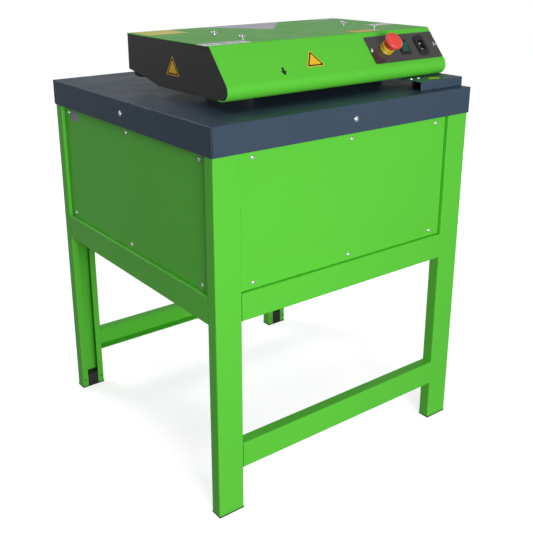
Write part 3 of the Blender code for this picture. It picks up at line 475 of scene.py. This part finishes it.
def add_piece(name, bm, finish, body="root", smooth_angle=30):
    """Turns a bmesh into a piece that rides on a body."""
    bmesh.ops.remove_doubles(bm, verts=bm.verts, dist=1e-6)
    bmesh.ops.recalc_face_normals(bm, faces=bm.faces)
    mesh = bpy.data.meshes.new(name)
    bm.to_mesh(mesh)
    bm.free()
    mesh.shade_smooth()
    mesh.set_sharp_from_angle(angle=math.radians(smooth_angle))
    mesh.materials.append(finish)
    piece = bpy.data.objects.new(name, mesh)
    bpy.context.scene.collection.objects.link(piece)
    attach(piece, body)
    return piece


def merge(bm, part, matrix):
    """Adds one bmesh to another, moved by a matrix, and frees it."""
    bmesh.ops.transform(part, matrix=matrix, verts=part.verts)
    scratch = bpy.data.meshes.new("scratch")
    part.to_mesh(scratch)
    part.free()
    bm.from_mesh(scratch)
    bpy.data.meshes.remove(scratch)


def rings_mesh(rings, closed=False):
    """Skins rings of equally many points; open stacks get flat caps."""
    bm = bmesh.new()
    loops = [[bm.verts.new(point) for point in ring] for ring in rings]
    count = len(loops[0])
    pairs = list(zip(loops, loops[1:]))
    if closed:
        pairs.append((loops[-1], loops[0]))
    for first, second in pairs:
        for i in range(count):
            j = (i + 1) % count
            bm.faces.new((first[i], first[j], second[j], second[i]))
    if not closed:
        bm.faces.new(reversed(loops[0]))
        bm.faces.new(loops[-1])
    return bm


def circle_ring(radius, height, sides):
    """A level ring of points, with the first one on X."""
    turns = [2 * math.pi * i / sides for i in range(sides)]
    return [(radius * math.cos(turn), radius * math.sin(turn), height) for turn in turns]


def hexagon_ring(radius, height, sides):
    """A ring with its points on a hexagon, so that it joins a round ring point for point."""
    ring = []
    for i in range(sides):
        turn = 2 * math.pi * i / sides
        reach = radius * math.cos(math.pi / 6) / math.cos(turn % (math.pi / 3) - math.pi / 6)
        ring.append((reach * math.cos(turn), reach * math.sin(turn), height))
    return ring


def turned(profile, sides, closed=False):
    """Spins (radius, height) points about Z."""
    return rings_mesh([circle_ring(max(r, 0.02 * MM), z, sides) for r, z in profile], closed)


def slab(outline, thickness, edge=0.0):
    """A flat outline given a thickness, with its upper edge softened."""
    bm = bmesh.new()
    face = bm.faces.new([bm.verts.new((a, b, 0)) for a, b in outline])
    if face.normal.z < 0:
        face.normal_flip()
    made = bmesh.ops.extrude_face_region(bm, geom=[face])
    moved = [item for item in made["geom"] if isinstance(item, bmesh.types.BMVert)]
    bmesh.ops.translate(bm, verts=moved, vec=(0, 0, thickness))
    if edge:
        rim = [e for e in bm.edges if all(v.co.z > thickness / 2 for v in e.verts)]
        bmesh.ops.bevel(bm, geom=rim, offset=edge, segments=2, profile=0.5, affect="EDGES")
    return bm


def rounded_outline(width, height, radius, steps=5):
    """A rectangle whose corners are arcs."""
    outline = []
    for sx, sy, start in ((1, -1, -90), (1, 1, 0), (-1, 1, 90), (-1, -1, 180)):
        centre = (sx * (width / 2 - radius), sy * (height / 2 - radius))
        for i in range(steps + 1):
            turn = math.radians(start + 90 * i / steps)
            reach = (radius * math.cos(turn), radius * math.sin(turn))
            outline.append((centre[0] + reach[0], centre[1] + reach[1]))
    return outline


def rounded_triangle(apex, left, right, radius, steps=4):
    """A triangle whose corners are arcs."""
    points = [Vector(p) for p in (apex, left, right)]
    outline = []
    for i, corner in enumerate(points):
        before = (points[i - 1] - corner).normalized()
        after = (points[(i + 1) % 3] - corner).normalized()
        half = before.angle(after) / 2
        centre = corner + (before + after).normalized() * (radius / math.sin(half))
        start = (corner + before * (radius / math.tan(half)) - centre).normalized()
        end = (corner + after * (radius / math.tan(half)) - centre).normalized()
        for step in range(steps + 1):
            blend = start.slerp(end, step / steps)
            outline.append(tuple(centre + blend.normalized() * radius))
    return outline


# ---- Carried-over nodes ------------------------------------------------------------------
def paint(nodes, finish):
    """Gives nodes that keep their own shape a finish."""
    for node in nodes:
        mesh = frame["nodes"][node].data
        mesh.materials.clear()
        mesh.materials.append(finish)


def soften(node, finish, width):
    """Makes a stand-in for a node: the same shape, with its sharp edges rounded off."""
    bm = bmesh.new()
    bm.from_mesh(frame["nodes"][node].data)
    bmesh.ops.remove_doubles(bm, verts=bm.verts, dist=2e-6)
    bmesh.ops.dissolve_limit(bm, angle_limit=math.radians(1.0), verts=bm.verts, edges=bm.edges)
    for face in bm.faces:
        face.material_index = 0
    piece = add_piece(node + "_surface", bm, finish, BODY_OF[node], smooth_angle=35)
    bevel = piece.modifiers.new("edges", "BEVEL")
    bevel.width = width
    bevel.segments = 3
    bevel.limit_method = "ANGLE"
    bevel.angle_limit = math.radians(28)
    bevel.harden_normals = True
    bevel.use_clamp_overlap = True
    normals = piece.modifiers.new("normals", "WEIGHTED_NORMAL")
    normals.weight, normals.keep_sharp = 100, True
    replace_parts(piece, node)


# ---- Fasteners ---------------------------------------------------------------------------
def screw_mesh(head, height, socket, washer, sides=36):
    """A button-head screw with a hexagon socket, and a washer under it unless its radius is 0."""
    lift = 0.0
    rings = []
    if washer:
        lift = WASHER_T
        rings += [
            circle_ring(washer, 0, sides), circle_ring(washer, lift * 0.75, sides),
            circle_ring(washer - 0.3 * MM, lift, sides), circle_ring(head + 0.1 * MM, lift, sides),
        ]
    dome = ((1.0, 0.0), (1.0, 0.25), (0.93, 0.62), (0.76, 0.88), (0.55, 1.0))
    rings += [circle_ring(head * r, lift + height * z, sides) for r, z in dome]
    rings += [
        hexagon_ring(socket, lift + height, sides),
        hexagon_ring(socket * 0.94, lift + height * 0.25, sides),
    ]
    return rings_mesh(rings)


def screws(name, places, finish, head=4.2 * MM, height=2.3 * MM, socket=1.5 * MM, washer=0.0):
    """One piece that holds a group of screws.  Each place is a matrix with Z outward."""
    bm = bmesh.new()
    for i, place in enumerate(places):
        turn = Matrix.Rotation(math.radians(SCREW_TURN * i), 4, "Z")
        merge(bm, screw_mesh(head, height, socket, washer), place @ turn)
    add_piece(name, bm, finish)


def panel_screws(finish):
    """Rows of three screws along the top and the bottom of each panel."""
    for node, axis, outward in PANELS:
        low, high = (Vector(corner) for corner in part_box(node))
        inset = PANEL_SCREW_INSET_FRONT if axis == 0 else PANEL_SCREW_INSET_SIDE
        across = 1 - axis
        face = (low if outward[across] < 0 else high)[across]
        places = []
        for along in (low[axis] + inset, 0.0, high[axis] - inset):
            for z in (high.z - PANEL_SCREW_ROW, low.z + PANEL_SCREW_ROW):
                place = Vector((0, 0, z))
                place[axis], place[across] = along, face
                places.append(facing(outward, place))
        screws(node + "_screws", places, finish)


def backing_strip(bm, axis, outward, side, back, bottom, top):
    """Adds an upright strip that meets a leg's wall, behind a sheet whose back face is given."""
    across = 1 - axis
    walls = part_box("leg_rear_right")[0]
    place = Vector((0, 0, (bottom + top) / 2))
    place[axis] = side * (walls[axis] - STRIP_W / 2 - STRIP_GAP)
    place[across] = back - outward[across] * (STRIP_T + STRIP_GAP)
    strip = slab(rounded_outline(STRIP_W, top - bottom, 0.5 * MM, 2), STRIP_T)
    merge(bm, strip, facing(outward, place))


def panel_gap_shade_strips(finish):
    """Black rubber strips behind the upright edges of the panels, which close the gaps to the legs
    and are dark to paint the shade that lies deep in those gaps.
    """
    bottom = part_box("rail_front_upper")[1][2] + CLEARANCE
    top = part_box("top_frame")[0][2] - CLEARANCE
    bm = bmesh.new()
    for node, axis, outward in PANELS:
        low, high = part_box(node)
        back = high[1 - axis] if outward[1 - axis] < 0 else low[1 - axis]
        for side in (-1, 1):
            backing_strip(bm, axis, outward, side, back, bottom, top)
    add_piece("panel_gap_shade_strips", bm, finish)


def rail_tabs(finish):
    """Tabs inside the rails' ends, where the rails are welded to the legs."""
    bm = bmesh.new()
    for node, axis, outward in RAILS:
        low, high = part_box(node)
        front = low[1 - axis] if outward[1 - axis] < 0 else high[1 - axis]
        back = front - outward[1 - axis] * RAIL_SHEET
        for side in (-1, 1):
            backing_strip(bm, axis, outward, side, back, low[2] + TAB_FOOT, low[2] + TAB_TOP)
    add_piece("rail_tabs", bm, finish)


def rim_screws(finish):
    """One washered screw in the middle of each side of the table's rim."""
    z = TABLE_LOW.z + RIM_SCREW_HEIGHT
    places = [
        facing((0, -1, 0), (0, TABLE_LOW.y, z)), facing((-1, 0, 0), (TABLE_LOW.x, 0, z)),
        facing((0, 1, 0), (0, TABLE_HIGH.y, z)), facing((1, 0, 0), (TABLE_HIGH.x, 0, z)),
    ]
    size = {"head": 3.8 * MM, "height": 1.6 * MM, "socket": 1.7 * MM, "washer": 5.6 * MM}
    screws("rim_screws", places, finish, **size)


def hood_bolt_mesh(sides=48):
    """A low domed nut with hexagon flats above a round flange."""
    ring = {"circle": circle_ring, "hexagon": hexagon_ring}
    rings = [ring[shape](radius * MM, height * MM, sides) for shape, radius, height in NUT_STACK]
    steps = 8
    for i in range(1, steps + 1):
        turn = math.radians(90 * i / steps)
        reach = max(NUT_DOME * MM * math.cos(turn), 0.05 * MM)
        height = (NUT_DOME_FOOT + NUT_DOME_RISE * math.sin(turn)) * MM
        rings.append(circle_ring(reach, height, sides))
    return rings_mesh(rings)


def hood_bolts(finish):
    """A nut and a shank in the place of each of the hood's bolts."""
    for end in ("front", "rear"):
        for side in ("left", "right"):
            node = f"hood_bolt_{end}_{side}"
            place = middle(node)
            place.z = HOOD_HIGH.z + CLEARANCE
            bm = bmesh.new()
            merge(bm, hood_bolt_mesh(), Matrix.Translation(place))
            shank = turned([(SHANK_RADIUS, -SHANK_LENGTH), (SHANK_RADIUS, 0.0)], 24)
            merge(bm, shank, Matrix.Translation(place))
            piece = add_piece(node + "_nut", bm, finish)
            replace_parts(piece, node)


# ---- Labels ------------------------------------------------------------------------------
def hood_labels(films, ink):
    """Plain stickers on the hood's top, where the machine has its printed ones."""
    z = HOOD_HIGH.z + LABEL_GAP
    for name, film, x, y, width, depth in HOOD_STICKERS:
        bm = slab(rounded_outline(width * MM, depth * MM, 1.5 * MM), SKIN, LABEL_EDGE)
        bmesh.ops.translate(bm, verts=bm.verts, vec=(x * MM, y * MM, z))
        add_piece(name, bm, films[film])
    bm = slab(rounded_triangle(*in_metres(SILVER_TRIANGLE), 2 * MM), SKIN, LABEL_EDGE)
    bmesh.ops.translate(bm, verts=bm.verts, vec=(0, 0, z))
    add_piece("label_silver", bm, films["silver"])
    bm = bmesh.new()
    for x, y, width in BARS:
        bar = slab(rounded_outline(width * MM, BAR_DEPTH, 1 * MM), BAR_T)
        merge(bm, bar, Matrix.Translation((x * MM, y * MM, z + SKIN)))
    add_piece("label_front_left_bars", bm, ink)


def hazard_triangle(name, matrix, width, height, film, ink):
    """A plain triangle: film, a dark line inside its edge, and film again with nothing on it."""
    half = width / 2
    outer = rounded_triangle((0, height / 2), (-half, -height / 2), (half, -height / 2), 2 * MM)
    layers = (("film", 1.0, film), ("line", 0.88, ink), ("face", 0.66, film))
    for level, (part, scale, finish) in enumerate(layers):
        drop = height * TRIANGLE_CENTRE * (1 - scale)
        layer = slab([(a * scale, b * scale - drop) for a, b in outer], TRIANGLE_LAYER)
        lift = Matrix.Translation((0, 0, level * TRIANGLE_LAYER))
        bmesh.ops.transform(layer, matrix=matrix @ lift, verts=layer.verts)
        add_piece(f"{name}_{part}", layer, finish)


def hazard_triangles(film, ink):
    """One triangle on the hood's slope and one on the head's left cover."""
    x, uphill, width, height = (size * MM for size in SLOPE_TRIANGLE)
    on_slope = slope_matrix(x, uphill, SLOPE_LABEL)
    hazard_triangle("slope_triangle", on_slope, width, height, film, ink)
    y, z, width, height = (size * MM for size in COVER_TRIANGLE)
    cover = Vector(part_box("side_cover_left")[0])
    on_cover = facing((-1, 0, 0), (cover.x - LABEL_GAP, y, z))
    hazard_triangle("side_triangle", on_cover, width, height, film, ink)


def feed_arrow(ink):
    """A small arrow that points down the slope, towards the slot."""
    bm = slab(in_metres(ARROW), SKIN)
    matrix = slope_matrix(ARROW_X, ARROW_UPHILL, SLOPE_LABEL)
    bmesh.ops.transform(bm, matrix=matrix, verts=bm.verts)
    add_piece("feed_arrow", bm, ink)


def table_labels(lemon, grey):
    """A lemon oval on the side guide and a blank plate on the left panel."""
    low, high = (Vector(corner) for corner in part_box("side_guide"))
    turns = [i / (OVAL_POINTS / 2) * math.pi for i in range(OVAL_POINTS)]
    oval = [(OVAL_HALF_W * math.cos(turn), OVAL_HALF_D * math.sin(turn)) for turn in turns]
    bm = slab(oval, SKIN)
    place = (OVAL_X, low.y + OVAL_INSET, high.z + LABEL_GAP)
    bmesh.ops.translate(bm, verts=bm.verts, vec=place)
    add_piece("guide_label", bm, lemon)
    low, high = (Vector(corner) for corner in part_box("panel_left"))
    bm = slab(rounded_outline(BLANK_W, BLANK_H, 1.5 * MM), 0.4 * MM, 0.1 * MM)
    place = facing((-1, 0, 0), (low.x - LABEL_GAP, BLANK_Y, high.z - BLANK_DROP))
    bmesh.ops.transform(bm, matrix=place, verts=bm.verts)
    add_piece("panel_label", bm, grey)


def seam_lines(finish):
    """The dark gap between the folded rims at each corner of the table."""
    bm = bmesh.new()
    edge, z = TABLE_HIGH.x - SEAM_INSET, TABLE_LOW.z + SEAM_HEIGHT
    for sx in (-1, 1):
        for sy in (-1, 1):
            place = facing((0, sy, 0), (sx * edge, sy * TABLE_HIGH.y, z))
            merge(bm, slab(rounded_outline(SEAM_W, SEAM_H, 0.2 * MM, 2), SEAM_T), place)
    add_piece("table_seams", bm, finish)


def leg_rivets(finish):
    """Two dark rivets that hold each foot, one in each lip of the leg."""
    bm = bmesh.new()
    for end, sy in (("front", -1), ("rear", 1)):
        for side in ("left", "right"):
            low, high = (Vector(corner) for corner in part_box(f"leg_{end}_{side}"))
            inner = low.y if sy > 0 else high.y
            for x in (low.x + RIVET_INSET, high.x - RIVET_INSET):
                place = facing((0, -sy, 0), (x, inner, low.z + RIVET_HEIGHT))
                merge(bm, turned(in_metres(RIVET), 24), place)
    add_piece("leg_rivets", bm, finish)


def guide_screws(finish):
    """Two small screws beside the card's path, at the front of the side guide."""
    low, high = (Vector(corner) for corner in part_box("side_guide"))
    places = [
        facing((0, 0, 1), (low.x + inset, GUIDE_SCREW_Y, high.z)) for inset in GUIDE_SCREW_INSETS
    ]
    screws("guide_screws", places, finish, head=3.6 * MM, height=2.0 * MM, socket=1.5 * MM)


# ---- Controls ----------------------------------------------------------------------------
def emergency_stop(red, yellow, black, x):
    """A hollow collar with a black band in its groove that paints the groove's shade, and a
    mushroom cap whose skirt slides down inside it.
    """
    on_face = slope_matrix(x, 0, CONTROL_BASE)
    collar = turned(in_metres(COLLAR), STOP_SIDES, closed=True)
    bmesh.ops.transform(collar, matrix=on_face, verts=collar.verts)
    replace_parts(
        add_piece("estop_collar_ring", collar, yellow), "estop_collar",
    )
    # the groove's painted shade: a black band inside it
    band = turned(in_metres(COLLAR_BAND), STOP_SIDES, closed=True)
    bmesh.ops.transform(band, matrix=on_face, verts=band.verts)
    add_piece("estop_collar_groove_shade_band", band, black)
    cap = turned(in_metres(MUSHROOM), STOP_SIDES, closed=True)
    bmesh.ops.transform(cap, matrix=on_face, verts=cap.verts)
    piece = add_piece("estop_mushroom", cap, red, BODY_OF["estop_cap"])
    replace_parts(piece, "estop_cap")


def inlet_pins(steel, x):
    """Flat blades that stand in the inlet's socket, with chamfered tips."""
    bm = bmesh.new()
    on_face = slope_matrix(x, 0, CONTROL_BASE)
    for px, py in in_metres(PIN_PLACES):
        pin = slab(rounded_outline(PIN_W, PIN_T, 0.4 * MM, 2), PIN_LENGTH, 0.3 * MM)
        merge(bm, pin, on_face @ Matrix.Translation((px, py, PIN_FOOT)))
    add_piece("inlet_pins", bm, steel)


def control_screws(finish):
    """A screw at each end of the control plate."""
    places = [slope_matrix(x, 0, 0) for x in CONTROL_SCREW_X]
    screws("control_plate_screws", places, finish, head=4.2 * MM, height=2.4 * MM, socket=1.8 * MM)


# ---- Stage -------------------------------------------------------------------------------
def make_camera():
    """The camera, which stands before the table's front left corner and looks down on it."""
    data = bpy.data.cameras.new("camera")
    data.lens, data.sensor_width = CAMERA_LENS, CAMERA_SENSOR
    data.shift_x, data.shift_y = CAMERA_SHIFT
    data.clip_start, data.clip_end = CAMERA_CLIP
    camera = bpy.data.objects.new("camera", data)
    level = Matrix.Rotation(-CAMERA_YAW, 4, "Z")
    tilt = Matrix.Rotation(math.pi / 2 - CAMERA_PITCH, 4, "X")
    roll = Matrix.Rotation(CAMERA_ROLL, 4, "Z")
    camera.matrix_world = Matrix.Translation(CAMERA_PLACE) @ level @ tilt @ roll
    bpy.context.scene.collection.objects.link(camera)
    bpy.context.scene.camera = camera


def area_light(name, place, target, size, power):
    """A white rectangular light that faces a target."""
    data = bpy.data.lights.new(name, "AREA")
    data.shape = "RECTANGLE"
    data.size, data.size_y = size
    data.energy = power
    light = bpy.data.objects.new(name, data)
    aim = (Vector(target) - Vector(place)).to_track_quat("-Z", "Y")
    light.location, light.rotation_mode, light.rotation_quaternion = place, "QUATERNION", aim
    bpy.context.scene.collection.objects.link(light)


def stage_piece(name, bm, finish):
    """Turns a bmesh into a piece of the stage, which is no part of the object."""
    mesh = bpy.data.meshes.new(name)
    bm.to_mesh(mesh)
    bm.free()
    mesh.materials.append(finish)
    piece = bpy.data.objects.new(name, mesh)
    bpy.context.scene.collection.objects.link(piece)
    return piece


def make_stage():
    """The floor, a wall that the camera sees, a wall that only reflections see, and the light."""
    bm = bmesh.new()
    bmesh.ops.create_circle(bm, cap_ends=True, radius=FLOOR_RADIUS, segments=96)
    floor = stage_piece("studio_floor", bm, floor_finish())
    floor.visible_diffuse = floor.visible_glossy = False
    for name, glow, reflected in (
        ("studio_backdrop", BACKDROP_GLOW, False), ("studio_reflector", REFLECTED_GLOW, True),
    ):
        bm = bmesh.new()
        bmesh.ops.create_uvsphere(bm, u_segments=48, v_segments=24, radius=BACKDROP_RADIUS)
        wall = stage_piece(name, bm, wall_finish(name + "_glow", glow))
        wall.visible_diffuse = wall.visible_shadow = False
        wall.visible_camera, wall.visible_glossy = not reflected, reflected

    world = bpy.data.worlds.new("studio")
    world.use_nodes = True
    background = world.node_tree.nodes["Background"]
    background.inputs["Color"].default_value = WORLD_COLOUR
    background.inputs["Strength"].default_value = WORLD_STRENGTH
    bpy.context.scene.world = world

    for light in LIGHTS:
        area_light(*light)
    bpy.context.scene.view_settings.view_transform = "Standard"


# ---- Assembly ----------------------------------------------------------------------------
def main():
    make_camera()
    make_stage()

    green, slate, black = green_paint(), slate_paint(), black_paint()
    bright, plated = chrome(), zinc()
    moulded = black_plastic()
    ink = label("label_ink", (0.02, 0.02, 0.02))
    films = {
        "yellow": label("yellow_film", (0.97, 0.84, 0.20)),
        "amber": label("amber_film", (0.92, 0.60, 0.14)),
        "hazard": label("hazard_film", (0.85, 0.50, 0.03)),
        "white": label("white_film", (0.96, 0.97, 0.99)),
        "silver": label("silver_film", (0.68, 0.66, 0.78), 0.28),
    }

    corners = [f"{end}_{side}" for end in ("front", "rear") for side in ("left", "right")]
    sheet_green = [f"leg_{corner}" for corner in corners]
    sheet_green += ["rail_front_lower", "rail_rear_lower", "top_frame"]
    sheet_green += [f"rail_{side}_upper" for side in ("front", "rear", "left", "right")]
    for node in sheet_green:
        soften(node, green, 1.2 * MM)
    for side in ("front", "rear", "left", "right"):
        soften(f"panel_{side}", green, 0.5 * MM)
    soften("hood", green, 0.5 * MM)
    soften("table_top", slate, 0.9 * MM)
    soften("side_guide", slate, 0.6 * MM)
    for node in ("side_cover_left", "side_cover_right", "rear_cover", "head_base"):
        soften(node, black, 0.4 * MM)
    soften("control_plate", control_plate_paint(), 0.35 * MM)
    for node in ("rocker_frame", "power_inlet"):
        soften(node, moulded, 0.5 * MM)
    soften("rocker_button", teal_plastic(), 0.7 * MM)
    pads = rubber()
    for node in [f"foot_{corner}" for corner in corners] + ["rear_pad_left", "rear_pad_right"]:
        soften(node, pads, 0.5 * MM)

    milled = metal("milled_steel", (0.50, 0.51, 0.53), 0.32, "Y")
    for node in (
        "bearing_plate_left", "bearing_plate_right", "bed_comb", "upper_comb", "motor_plate",
    ):
        soften(node, milled, 0.4 * MM)
    for level in ("upper", "lower"):
        paint([f"bearing_{level}_{side}" for side in ("left", "right")], bright)
    paint(("upper_shaft", "lower_shaft"), metal("ground_steel", (0.58, 0.59, 0.61), 0.22, "X"))
    paint(("timing_gear_upper", "timing_gear_lower"), metal("gear_steel", (0.48, 0.48, 0.50), 0.30))
    drive = ("driven_sprocket", "drive_sprocket", "drive_chain")
    paint(("upper_cutter_roller", "lower_cutter_roller", *drive), oiled_steel())
    paint(("drive_motor",), enamel("motor_enamel", (0.045, 0.085, 0.15)))
    paint(("gearbox",), enamel("gearbox_enamel", (0.05, 0.09, 0.14), 0.5))
    paint(("estop_stem", "estop_contact_block"), moulded)

    panel_screws(plated)
    # dark strips that paint the shade in the gaps beside the panels
    panel_gap_shade_strips(pads)
    rail_tabs(green)
    rim_screws(plated)
    hood_bolts(bright)
    hood_labels(films, ink)
    hazard_triangles(films["hazard"], ink)
    feed_arrow(ink)

    emergency_stop(red_plastic(), yellow_plastic(), moulded, middle("estop_cap").x)
    inlet_pins(tinned(), middle("power_inlet").x)
    control_screws(bright)
    guide_screws(plated)
    seam_lines(ink)
    leg_rivets(moulded)
    table_labels(label("lemon_film", (0.62, 0.66, 0.01)), label("grey_plate", (0.36, 0.33, 0.42)))


main()
